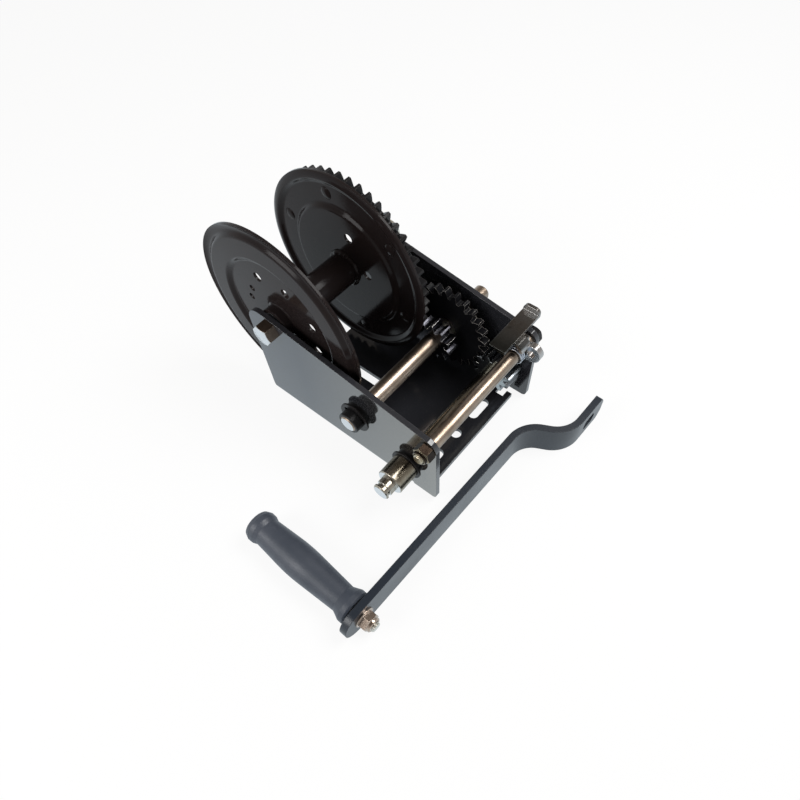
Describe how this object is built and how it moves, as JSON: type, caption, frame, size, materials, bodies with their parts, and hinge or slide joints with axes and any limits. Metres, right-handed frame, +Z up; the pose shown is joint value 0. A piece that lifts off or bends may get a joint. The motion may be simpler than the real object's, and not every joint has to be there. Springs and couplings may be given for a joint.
{
  "type": "hand winch",
  "caption": "Hand winch with an empty flanged drum and reduction gears in a bent steel frame, a spring pawl, and a loose crank with a turning grip beside it.",
  "frame": {"origin": "on the underside of the base, midway between the side plates and midway along them", "axes": "+X along the shafts from the crank side to the gear side, -Y towards the front tie bolt, +Z up"},
  "size_m": [0.3409, 0.353, 0.2057],
  "materials": {
    "black_paint": "satin black paint",
    "black_gear": "satin black, oiled",
    "zinc_shaft": "turned, yellow zinc",
    "zinc_hardware": "zinc plated",
    "bush_black": "matte black",
    "pawl_steel": "dark plated sheet",
    "spring_steel": "bright wire",
    "crank_paint": "satin black paint",
    "grip_plastic": "moulded, matte"
  },
  "bodies": {
    "frame": {"frame": "black_paint", "tie_bolt": "zinc_hardware", "tie_spacer": "zinc_shaft", "tie_nut": "zinc_hardware", "drum_axle_bolt": "zinc_hardware", "drum_axle_washer": "zinc_hardware", "drum_axle_nut": "zinc_hardware", "drum_axle_spacer": "zinc_hardware", "shaft_bushes": "bush_black"},
    "drum": {"drum_flange_left": "black_paint", "drum_flange_right": "black_paint", "drum_gear": "black_gear", "gear_rivets": "black_paint", "drum_core": "black_paint", "drum_bushes": "bush_black"},
    "intermediate": {"intermediate_shaft": "zinc_shaft", "intermediate_pinion": "black_gear", "intermediate_collar": "zinc_hardware", "intermediate_gear": "black_gear", "intermediate_clips": "black_gear", "intermediate_end_collar": "bush_black"},
    "drive": {"drive_shaft": "zinc_shaft", "drive_sleeve": "zinc_shaft", "drive_pinion": "black_gear", "drive_clips": "black_gear"},
    "pawl": {"pawl_lever": "pawl_steel", "pawl_spring": "spring_steel"},
    "crank": {"crank_arm": "crank_paint", "grip_bolt": "zinc_hardware", "grip_nut": "zinc_hardware", "grip_washer": "zinc_hardware"},
    "grip": {"grip": "grip_plastic"}
  },
  "joints": [
    {"name": "drum_spin", "type": "hinge", "parent": "frame", "child": "drum", "pos_m": [0, 0.0794, 0.1112], "axis": [1, 0, 0], "continuous": true},
    {"name": "intermediate_spin", "type": "hinge", "parent": "frame", "child": "intermediate", "pos_m": [0, -0.01921, 0.06595], "axis": [1, 0, 0], "continuous": true},
    {"name": "drive_spin", "type": "hinge", "parent": "frame", "child": "drive", "pos_m": [0, -0.07795, 0.04317], "axis": [1, 0, 0], "continuous": true},
    {"name": "pawl_swing", "type": "hinge", "parent": "frame", "child": "pawl", "pos_m": [0, -0.0989, 0.0848], "axis": [1, 0, 0], "range_deg": [0, 30], "stiffness_Nm_per_rad": 0.1, "springref_deg": -17.19},
    {"name": "crank_lift", "type": "slide", "parent": "frame", "child": "crank", "axis": [0, 0, 1], "range_m": [0, 0.2]},
    {"name": "grip_spin", "type": "hinge", "parent": "crank", "child": "grip", "pos_m": [-0.2053, -0.1281, 0.0165], "axis": [0.0262, 0.9997, 0], "continuous": true}
  ],
  "couplings": [
    {"joint": "intermediate_spin", "follows": "drum_spin", "ratio": -4.6364},
    {"joint": "drive_spin", "follows": "drum_spin", "ratio": 10.537}
  ]
}
